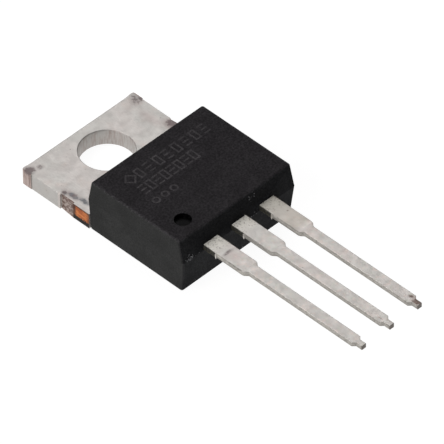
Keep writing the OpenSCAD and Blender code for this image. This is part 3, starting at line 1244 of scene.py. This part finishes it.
@dataclass
class StampedTab:
    """The heatsink tab, its pad and the centre lead: one piece of copper."""

    lead: LeadShape
    half_width: float = 5.05
    pad_half: float = 4.10
    shoulder_y: float = -3.46
    pad_end_y: float = -9.80
    ledge_out: float = 0.30
    ledge_z: float = 0.70
    groove_y: Pair = (-4.02, -4.57)
    groove_width: float = 0.30
    groove_depth: float = 0.15
    tie_y: float = -2.00
    relief_y: float = -0.80
    relief_depth: float = 0.12
    strip_cut_y: float = 1.83
    strip_proud: float = 0.04
    roll_over: float = 0.11
    corner: float = 0.15
    bend_y: float = -11.00
    rim_round: float = 0.07
    low_rim_round: float = 0.03
    ledge_round: float = 0.04
    ledge_root: float = 0.5
    root: float = 0.4
    foot_overlap: float = 0.2

    def build(self) -> Piece:
        """Models the tab.

        Returns:
            The piece.
        """
        mount = frame["record"]["mounts"][0]["dims"]
        radius, thick = mount["r_mm"], mount["length_mm"]
        end = CAD_HIGH.y / MM
        tab = Piece.box(
            "stamped_tab", (-self.pad_half, self.pad_end_y, 0), (self.pad_half, end, thick)
        )
        tab.slice(Axis.Y, self.shoulder_y)
        for side in (-1, 1):
            with tab.editing():
                tab.pick_faces(lambda c, n: c.y > self.shoulder_y and n.x * side > FACING)
                tab.extrude((side * (self.half_width - self.pad_half), 0, 0))
        self._roll(tab, end, thick)
        self._pad(tab, thick)
        for side in (-1, 1):
            self._shears(tab, side, end, thick)
        tab.join(Piece.rod("hole", (0, 0, -1), radius, thick + 2, 128), Join.CUT)
        tab.mend()
        for level, width, steps in ((thick, self.rim_round, 3), (0, self.low_rim_round, 2)):
            tab.round_edges(
                width, steps,
                lambda a, b: at(Axis.Z, level, a, b) and on_circle((0, 0), radius, a, b),
            )
        tab.join(self._centre_lead(thick), Join.ADD)
        tab.mend()
        return tab

    def _roll(self, tab: Piece, end: float, thick: float) -> None:
        """Rounds the edges that the stamping punch rolled over."""

        def rolled(a: Vector, b: Vector) -> bool:
            """Says whether an edge is on the top outline of the bare tab."""
            side = all(abs(abs(p.x) - self.half_width) < NEAR for p in (a, b))
            return at(Axis.Z, thick, a, b) and (side or at(Axis.Y, end, a, b))

        tab.round_edges(
            self.corner, 4,
            lambda a, b: abs(a.z - b.z) > 0.5 and at(Axis.Y, end, a) and abs(a.x) > 5,
        )
        tab.round_edges(self.roll_over, 4, rolled)

    def _pad(self, tab: Piece, thick: float) -> None:
        """Adds the locking ledge under the moulding and cuts the two grooves."""
        for side in (-1, 1):
            reach = side * (self.pad_half + self.ledge_out)
            inner = side * (self.pad_half - self.ledge_root)
            ledge = Piece.box(
                "ledge", (min(reach, inner), self.pad_end_y, self.ledge_z),
                (max(reach, inner), self.shoulder_y + 0.01, thick),
            )
            ledge.round_edges(self.ledge_round, 2, lambda a, b: at(Axis.X, reach, a, b))
            tab.join(ledge, Join.ADD)
        for place in self.groove_y:
            groove = Piece.box(
                "groove", (-6, place, thick - self.groove_depth),
                (6, place + self.groove_width, thick + 1),
            )
            tab.join(groove, Join.CUT)

    def _shears(self, tab: Piece, side: int, end: float, thick: float) -> None:
        """Makes the sheared places on one side: strip cut, relief and tie-bar cut."""
        outer = self.half_width + self.strip_proud
        strip = Piece.box(
            "strip", (self.half_width - self.root, self.strip_cut_y, 0), (outer, end, thick)
        )
        strip.round_edges(
            self.corner, 4,
            lambda a, b: abs(a.z - b.z) > 0.5 and at(Axis.Y, end, a) and a.x > 5,
        )
        tie = Piece.box(
            "tie", (self.half_width - self.root, self.shoulder_y, 0),
            (self.half_width, self.tie_y, thick),
        )
        relief = Piece.box(
            "relief", (self.half_width - self.relief_depth, self.tie_y, -1),
            (self.half_width + 1, self.relief_y, thick + 1),
        )
        with relief.editing(Element.EDGE):
            relief.pick_edges(
                lambda a, b: max(a.x, b.x) < self.half_width and at(Axis.Y, self.tie_y, a, b)
            )
            relief.move((self.relief_depth, 0, 0))
        for block, how in ((strip, Join.ADD), (tie, Join.ADD), (relief, Join.CUT)):
            if side < 0:
                block.mirror()
            tab.join(block, how)

    def _centre_lead(self, thick: float) -> Piece:
        """Models the centre lead, bent down inside the body to the end of the pad."""
        front = span("moulded_body")[0].y
        drop = span("input_lead")[1].z - thick
        lead = self.lead.build("centre_lead", 0.0, self.bend_y, front)
        with lead.editing():
            lead.pick_faces(lambda c, n: n.y > FACING)
            lead.extrude((0, self.pad_end_y - self.bend_y, 0))
            lead.move((0, 0, -drop))
            lead.extrude((0, self.foot_overlap, 0))
        self.lead.soften(lead, 0.0, front)
        return lead

    def dress(self, piece: Piece, finishes: Finishes) -> None:
        """Gives the tab its finishes and fixes it to the body."""
        piece.paint(
            (finishes.tin, finishes.copper, finishes.sheared),
            lambda c, n: abs(n.x) > FACING and abs(c.x) > self.half_width - OVERLAP
            and self.shoulder_y - OVERLAP < c.y < self.tie_y,
            lambda c, n: c.y < span("moulded_body")[0].y and self.lead.is_side(c, n),
        )
        piece.finish(Slot.TIN, "tab_and_ground_lead")


@dataclass
class OuterLead:
    """An outer lead with its bonding post, from the box of its CAD node."""

    lead: LeadShape
    node: str
    name: str
    post_length: float = 1.30
    post_round: float = 0.20
    lock_radius: float = 0.30
    lock_gap: float = 0.75

    def build(self) -> Piece:
        """Models the lead.

        Returns:
            The piece.
        """
        low, high = span(self.node)
        front = span("moulded_body")[0].y
        centre = (low.x + high.x) / 2
        post_low = high.y - self.post_length
        lead = self.lead.build(self.name, centre, post_low + self.post_length / 2, front)
        self.lead.soften(lead, centre, front)
        post = Piece.box("post", (low.x, post_low, low.z), (high.x, high.y, high.z))
        post.round_edges(self.post_round, 5, lambda a, b: abs(a.z - b.z) > 0.1)
        lock = Piece.rod(
            "lock", (centre, front + self.lock_gap, low.z - 1), self.lock_radius, 3, 32
        )
        lead.join(post, Join.ADD)
        lead.join(lock, Join.CUT)
        lead.mend()
        return lead

    def dress(self, piece: Piece, finishes: Finishes) -> None:
        """Gives the lead its finishes and fixes it to the body."""
        piece.paint((finishes.tin, finishes.sheared), self.lead.is_side)
        piece.finish(Slot.TIN, self.node)


@dataclass
class Moulding:
    """The drafted resin body with its parting line and ejector dimple."""

    mark_height: float = 0.004
    flank_top: float = 0.016
    flank_bottom: float = 0.136
    front_top: float = 0.42
    front_bottom: float = 0.30
    back_top: float = 0.32
    back_bottom: float = 0.04
    corner_round: float = 0.15
    top_round: float = 0.115
    bottom_round: float = 0.03
    seam_half: float = 0.018
    seam_proud: float = 0.004
    dimple_radius: float = 0.58
    dimple_depth: float = 0.30
    dimple_round: float = 0.035
    dimple_place: Pair = (1.72, 1.72)
    steep: float = 0.75

    def build(self, cores: Sequence[Piece]) -> Piece:
        """Models the body and cuts the pocket of everything it is moulded round.

        Args:
            cores: The pieces and copies of nodes that the resin flows round.

        Returns:
            The piece.
        """
        low, high = span("moulded_body")
        seam = span("input_lead")[0].z
        top = high.z - self.mark_height
        ridge = self.seam_proud
        body = Piece.box(
            "resin_body", (low.x + ridge, low.y, low.z), (high.x - ridge, high.y, top)
        )
        body.slice(Axis.Z, seam)
        self._draft(body, 0.0, self.flank_bottom, self.front_bottom, self.back_bottom)
        self._draft(body, top, self.flank_top, self.front_top, self.back_top)
        body.round_edges(self.corner_round, 7, lambda a, b: abs(a.z - b.z) > 1.0)
        body.round_edges(self.top_round, 5, lambda a, b: at(Axis.Z, top, a, b))
        body.round_edges(self.bottom_round, 2, lambda a, b: at(Axis.Z, 0.0, a, b))
        self._seam(body, seam)
        self._dimple(body, top)
        for core in cores:
            body.join(core, Join.CUT)
        body.mend()
        return body

    def _draft(self, body: Piece, level: float, flank: float, front: float, back: float) -> None:
        """Draws the outline at one level in from the parting line."""
        low, high = span("moulded_body")
        middle = (low.y + high.y) / 2
        sides = (
            (lambda p: p.x < 0, (flank, 0, 0)),
            (lambda p: p.x > 0, (-flank, 0, 0)),
            (lambda p: p.y < middle, (0, front, 0)),
            (lambda p: p.y > middle, (0, -back, 0)),
        )
        for on_side, shift in sides:
            with body.editing(Element.CORNER):
                body.pick_corners(lambda p: at(Axis.Z, level, p) and on_side(p))
                body.move(shift)

    def _seam(self, body: Piece, seam: float) -> None:
        """Raises a fine ridge where the two halves of the mould met."""
        body.slice(Axis.Z, seam - self.seam_half, seam + self.seam_half)
        with body.editing():
            body.pick_faces(
                lambda c, n: abs(c.z - seam) < self.seam_half and abs(n.z) < 0.5
            )
            bpy.ops.mesh.extrude_region_shrink_fatten(
                TRANSFORM_OT_shrink_fatten={"value": self.seam_proud * MM}
            )

    def _dimple_axis(self) -> Pair:
        """Gives the place of the ejector dimple in millimetres."""
        low = span("moulded_body")[0]
        return low.x + self.dimple_place[0], low.y + self.dimple_place[1]

    def _dimple(self, body: Piece, top: float) -> None:
        """Sinks the ejector dimple and rounds its rim."""
        axis, radius = self._dimple_axis(), self.dimple_radius
        pin = Piece.rod("ejector", (*axis, top - self.dimple_depth), radius, 1.0, 64)
        body.join(pin, Join.CUT)
        body.round_edges(
            self.dimple_round, 3,
            lambda a, b: at(Axis.Z, top, a, b) and on_circle(axis, radius, a, b),
        )

    def in_dimple(self, centre: Vector, normal: Vector) -> bool:
        """Says whether a face is inside the ejector dimple."""
        x, y = self._dimple_axis()
        top = span("moulded_body")[1].z - self.mark_height
        close = math.hypot(centre.x - x, centre.y - y) < self.dimple_radius + 0.01
        return close and top - self.dimple_depth - 0.01 < centre.z < top - NEAR

    def dress(self, piece: Piece, finishes: Finishes) -> None:
        """Gives the body its finishes and fixes it to the frame."""
        # the flanks and the lead side take the painted-shade copies of the resin, and the dimple
        # takes its near-black finish, partly painted shade
        piece.paint(
            (finishes.resin, finishes.flank, finishes.front, finishes.glossy_painted_shade),
            lambda c, n: abs(n.x) > self.steep,
            lambda c, n: n.y < -self.steep,
            self.in_dimple,
        )
        piece.finish(Slot.RESIN, "moulded_body")


@dataclass(frozen=True)
class MarkRow:
    """One row of plain marks on the top of the body."""

    name: str
    start: float
    middle: float
    pitch: float
    marks: tuple[Mark, ...]


@dataclass
class TopMarks:
    """Rows of plain outlined shapes where a part would carry print."""

    stroke: float = 0.13
    height: float = 0.95
    width: float = 0.52
    sunk: float = 0.010
    ring_part: float = 0.32
    diamond_part: float = 0.40
    bar_part: float = 0.40
    bar_round: float = 0.45
    rows: tuple[MarkRow, ...] = (
        MarkRow("mark_row_far", -3.10, -5.35, 0.83,
                (Mark.DIAMOND,) + (Mark.FRAME, Mark.BARS) * 4),
        MarkRow("mark_row_middle", -3.15, -6.62, 0.64,
                (Mark.BARS, Mark.FRAME) * 4),
        MarkRow("mark_row_near", -3.30, -7.90, 0.80, (Mark.RING,) * 3),
    )

    def _outline(self, piece: Piece) -> Piece:
        """Opens a flat block so that only a stroke along its outline is left."""
        with piece.editing():
            piece.pick_faces(lambda c, n: abs(n.z) > FACING)
            bpy.ops.mesh.inset(thickness=self.stroke * MM, depth=0)
            bpy.ops.mesh.bridge_edge_loops()
        piece.mend()
        return piece

    def _mark(self, kind: Mark, low: float, high: float) -> Piece:
        """Models one mark about the origin, between two heights."""
        half_w, half_h = self.width / 2, self.height / 2
        if kind is Mark.FRAME:
            return self._outline(
                Piece.box("frame", (-half_w, -half_h, low), (half_w, half_h, high))
            )
        if kind is Mark.RING:
            return self._outline(
                Piece.rod("ring", (0, 0, low), self.height * self.ring_part, high - low, 32)
            )
        if kind is Mark.DIAMOND:
            reach = self.height * self.diamond_part
            piece = Piece.box("diamond", (-reach, -reach, low), (reach, reach, high))
            with piece.editing():
                bpy.ops.mesh.select_all(action="SELECT")
                bpy.ops.transform.rotate(
                    value=math.pi / 4, orient_axis="Z", orient_type="GLOBAL",
                    center_override=(0, 0, 0),
                )
            return self._outline(piece)
        half_s, apart = self.stroke / 2, self.height * self.bar_part
        bars = [
            Piece.box("bar", (-half_w, y - half_s, low), (half_w, y + half_s, high))
            for y in (-apart, 0.0, apart)
        ]
        for bar in bars:
            bar.round_edges(
                self.stroke * self.bar_round, 3, lambda a, b: abs(a.z - b.z) > NEAR
            )
        return Piece.merged("bar", bars)

    def build(self) -> list[Piece]:
        """Models each kind of mark once and copies it along the rows.

        Returns:
            One piece for each row.
        """
        top = span("moulded_body")[1].z
        patterns = {kind: self._mark(kind, top - self.sunk, top) for kind in Mark}
        rows = []
        for row in self.rows:
            copies = [
                patterns[kind].copy(row.name, (row.start + number * row.pitch, row.middle, 0))
                for number, kind in enumerate(row.marks)
            ]
            rows.append(Piece.merged(row.name, copies))
        for pattern in patterns.values():
            pattern.remove()
        return rows

    def dress(self, rows: Sequence[Piece], finishes: Finishes) -> None:
        """Gives the rows their finish and fixes them to the body."""
        for row in rows:
            row.paint((finishes.mark,))
            row.finish(Slot.RESIN)


@dataclass
class MouldFlash:
    """Resin left beside the leads as far as the dam bar, and crumbs at the seam."""

    length: float = 0.95
    width: float = 0.09
    inset: float = 0.04
    ragged: float = 0.03
    web_round: float = 0.02
    burr: Triple = (0.05, 0.10, 0.14)
    burr_taper: Triple = (0.4, 0.35, 1)
    burr_below_top: float = 0.1
    burr_round: float = 0.012
    front_draft: float = 0.42
    crumb_half: Triple = (0.05, 0.02, 0.035)
    crumb_reach: float = 0.32
    crumb_sizes: Pair = (0.35, 1.0)
    crumb_flatness: float = 0.6
    crumbs: int = 54
    crumb_groups: tuple[tuple[float, float, float, float], ...] = (
        (-4.52, 2.80, 0.16, 1.3),
        (-3.70, 2.62, 0.08, 0.8),
        (-4.45, 2.70, 0.12, 1.1),
        (1.30, 2.60, 0.10, 0.9),
        (1.45, 3.90, 0.18, 1.2),
    )
    seed: int = 7

    def webs(self, lead: LeadShape) -> Piece:
        """Models one web of flash and copies it to both sides of each lead.

        Args:
            lead: The shared lead shape.

        Returns:
            The webs as one piece.
        """
        front = span("moulded_body")[0].y
        low, high = span("input_lead")
        half = lead.wide / 2
        web = Piece.box(
            "web", (half - OVERLAP, front - self.length, low.z + self.inset),
            (half + self.width, front + 0.1, high.z - self.inset),
        )
        web.slice(Axis.Y, *(front - self.length * part for part in (0.2, 0.4, 0.6, 0.8)))
        web.slice(Axis.Z, (low.z + high.z) / 2)
        with web.editing(Element.CORNER):
            web.pick_corners(lambda p: p.x > half and p.y < front - 0.05)
            bpy.ops.transform.vertex_random(
                offset=self.ragged * MM, uniform=0.4, normal=0.0, seed=self.seed
            )
        web.round_edges(
            self.web_round, 2,
            lambda a, b: min(a.x, b.x) > half + self.ragged and abs(a.y - b.y) > 0.05,
        )
        return self._both_sides(web, "mould_flash")

    def burrs(self, lead: LeadShape) -> Piece:
        """Models one burr of the dam-bar cut and copies it to each lead's sides.

        Args:
            lead: The shared lead shape.

        Returns:
            The burrs as one piece.
        """
        front = span("moulded_body")[0].y
        low, high = span("input_lead")
        half = lead.wide / 2
        out, along, hang = self.burr
        place = front - self.length
        burr = Piece.box(
            "burr", (half - OVERLAP, place - along, low.z - hang),
            (half + out, place, high.z - self.burr_below_top),
        )
        burr.slice(Axis.Z, low.z)
        with burr.editing():
            burr.pick_faces(lambda c, n: n.z < -FACING)
            burr.resize(self.burr_taper, (half, place - along / 2, low.z - hang))
        burr.round_edges(self.burr_round, 2, lambda a, b: abs(a.z - b.z) > 0.05)
        return self._both_sides(burr, "dam_bar_burrs")

    def _both_sides(self, pattern: Piece, name: str) -> Piece:
        """Mirrors a pattern about its lead and copies it to the three leads."""
        mirrored = pattern.copy(name)
        mirrored.mirror()
        copies = []
        for node in ("input_lead", "tab_and_ground_lead", "output_lead"):
            low, high = span(node)
            shift = ((low.x + high.x) / 2, 0, 0)
            copies += [pattern.copy(name, shift), mirrored.copy(name, shift)]
        merged = Piece.merged(name, copies)
        pattern.remove()
        mirrored.remove()
        return merged

    def seam_crumbs(self) -> Piece:
        """Scatters broken crumbs of flash on the lead side, near the parting line.

        Returns:
            The crumbs as one piece.
        """
        low, high = span("moulded_body")
        seam = span("input_lead")[0].z
        draw = random.Random(self.seed)
        crumb = Piece.box("crumb", [-half for half in self.crumb_half], self.crumb_half)
        with crumb.editing():
            bpy.ops.mesh.select_all(action="SELECT")
            bpy.ops.mesh.subdivide(number_cuts=2, smoothness=0.6)
            bpy.ops.transform.vertex_random(offset=0.02 * MM, uniform=0.5, normal=0.0, seed=3)
        copies = []
        for number in range(self.crumbs):
            place, height, spread, scale = self.crumb_groups[number % len(self.crumb_groups)]
            x = place + draw.uniform(-self.crumb_reach, self.crumb_reach)
            z = height + draw.gauss(0, spread)
            slope = abs(z - seam) * (self.front_draft / (high.z - seam))
            copy = crumb.copy("crumbs", (x, low.y + slope, z))
            size = draw.uniform(*self.crumb_sizes) * scale
            with copy.editing():
                bpy.ops.mesh.select_all(action="SELECT")
                copy.resize((size, size * self.crumb_flatness, size), (x, low.y + slope, z))
            copies.append(copy)
        merged = Piece.merged("seam_crumbs", copies)
        crumb.remove()
        return merged

    def dress(self, webs: Piece, burrs: Piece, crumbs: Piece, finishes: Finishes) -> None:
        """Gives flash, burrs and crumbs their finishes and fixes them to the body."""
        webs.paint((finishes.flash,))
        webs.finish(Slot.RESIN)
        burrs.paint((finishes.tin,))
        burrs.finish(Slot.TIN)
        crumbs.paint((finishes.crumb,))
        crumbs.finish(Slot.RESIN)


@dataclass
class SealedChip:
    """The die, its solder and the bond wires, which keep their CAD shapes."""

    solder: SealedMetal = SealedMetal(
        "dull_solder", (0.42, 0.42, 0.43), (0.24, 0.24, 0.25), 0.12, (0.35, 0.55)
    )
    wire: SealedMetal = SealedMetal(
        "drawn_aluminium", (0.78, 0.79, 0.80), (0.55, 0.56, 0.58), 0.05, (0.22, 0.36)
    )

    def dress(self) -> None:
        """Gives each sealed node a finish of its own."""
        solder, wire, silicon = self.solder.make(), self.wire.make(), SiliconFace().make()
        for name, node in frame["nodes"].items():
            if name.endswith("_wire") or "_wire_" in name:
                finish, slot = wire, Slot.WIRE
            elif name == "die_solder":
                finish, slot = solder, Slot.SOLDER
            elif name == "regulator_die":
                finish, slot = silicon, Slot.SILICON
            else:
                continue
            node.data.materials.clear()
            node.data.materials.append(finish)
            log.info("%s: dressed in %s", name, finish.name)


# ----------------------------------------------------------------- the studio


@dataclass(frozen=True)
class Softbox:
    """A square soft light that faces the object."""

    name: str
    azimuth: float
    elevation: float
    distance: float
    size: float
    radiance: float
    tint: Triple = (1.0, 1.0, 1.0)

    def place(self, aim: Vector) -> None:
        """Adds the light.

        Args:
            aim: Point that the light faces, in metres.
        """
        back = direction(self.azimuth, self.elevation)
        data = bpy.data.lights.new(self.name, "AREA")
        data.shape = "SQUARE"
        data.size = self.size
        data.energy = self.radiance * math.pi * self.size**2
        data.color = self.tint
        light = bpy.data.objects.new(self.name, data)
        bpy.context.scene.collection.objects.link(light)
        light.location = aim + back * self.distance
        light.rotation_mode = "QUATERNION"
        light.rotation_quaternion = back.to_track_quat("Z", "Y")
        log.info("%s: light", self.name)


@dataclass
class Studio:
    """Camera, white table, softboxes and dim surroundings."""

    azimuth: float = -44.93
    elevation: float = 43.89
    roll: float = -0.54
    distance: float = 500.5
    lens: float = 633.31
    sensor: float = 36.0
    aim_offset: Triple = (-0.116, 0.819, -0.160)
    clip: Pair = (0.02, 10.0)
    table_half: float = 3.0
    table_depth: float = 20.0
    table_gap: float = 0.002
    table_round: float = 8.0
    surroundings: Triple = (0.08, 0.08, 0.08)
    lights: tuple[Softbox, ...] = (
        Softbox("side_softbox", -100, 28, 1.6, 1.5, 3.2),
        Softbox("top_softbox", 140, 58, 1.6, 1.5, 1.8),
    )

    def build(self) -> None:
        """Sets up everything that isn't part of the object."""
        centre = (CAD_LOW + CAD_HIGH) / 2
        aim = centre + mm(self.aim_offset)
        self._camera(aim)
        self._table()
        for light in self.lights:
            light.place(centre)
        scene = bpy.context.scene
        world = bpy.data.worlds.new("surroundings")
        world.use_nodes = True
        world.node_tree.nodes["Background"].inputs["Color"].default_value = (
            *self.surroundings, 1.0,
        )
        scene.world = world
        scene.view_settings.view_transform = "Standard"

    def _camera(self, aim: Vector) -> None:
        """Adds the camera, facing the aim."""
        back = direction(self.azimuth, self.elevation)
        data = bpy.data.cameras.new("camera")
        data.lens = self.lens
        data.sensor_width = self.sensor
        data.clip_start, data.clip_end = self.clip
        camera = bpy.data.objects.new("camera", data)
        bpy.context.scene.collection.objects.link(camera)
        camera.location = aim + back * (self.distance * MM)
        camera.rotation_euler = back.to_track_quat("Z", "Y").to_euler("XYZ")
        camera.rotation_euler.rotate_axis("Z", math.radians(self.roll))
        bpy.context.scene.camera = camera
        log.info("camera: placed")

    def _table(self) -> None:
        """Adds the table top under the object, with its edge rounded off."""
        half = self.table_half / MM
        top = CAD_LOW.z / MM - self.table_gap
        table = Piece.box("table_top", (-half, -half, -self.table_depth), (half, half, top))
        table.round_edges(self.table_round, 3, lambda a, b: at(Axis.Z, top, a, b))
        table.paint((WhiteTable().make(),))
        log.info("table_top: stage")


def main() -> None:
    """Builds every piece in order."""
    logging.basicConfig(level=logging.INFO, format="%(message)s", force=True)
    Studio().build()
    finishes = Finishes()
    shape = LeadShape()
    tab_maker = StampedTab(shape)
    tab = tab_maker.build()
    makers = (
        OuterLead(shape, "input_lead", "input_pin"),
        OuterLead(shape, "output_lead", "output_pin"),
    )
    leads = [maker.build() for maker in makers]
    remade = {"tab_and_ground_lead", "input_lead", "output_lead", "moulded_body"}
    cores = [part.copy("core") for part in (tab, *leads)]
    cores += [Piece.from_node(name) for name in sorted(set(frame["nodes"]) - remade)]
    moulding = Moulding()
    body = moulding.build(cores)
    tab_maker.dress(tab, finishes)
    for maker, lead in zip(makers, leads):
        maker.dress(lead, finishes)
    moulding.dress(body, finishes)
    marks = TopMarks()
    marks.dress(marks.build(), finishes)
    flash = MouldFlash()
    flash.dress(flash.webs(shape), flash.burrs(shape), flash.seam_crumbs(), finishes)
    SealedChip().dress()
    clear_selection()


if __name__ == "__main__":
    main()
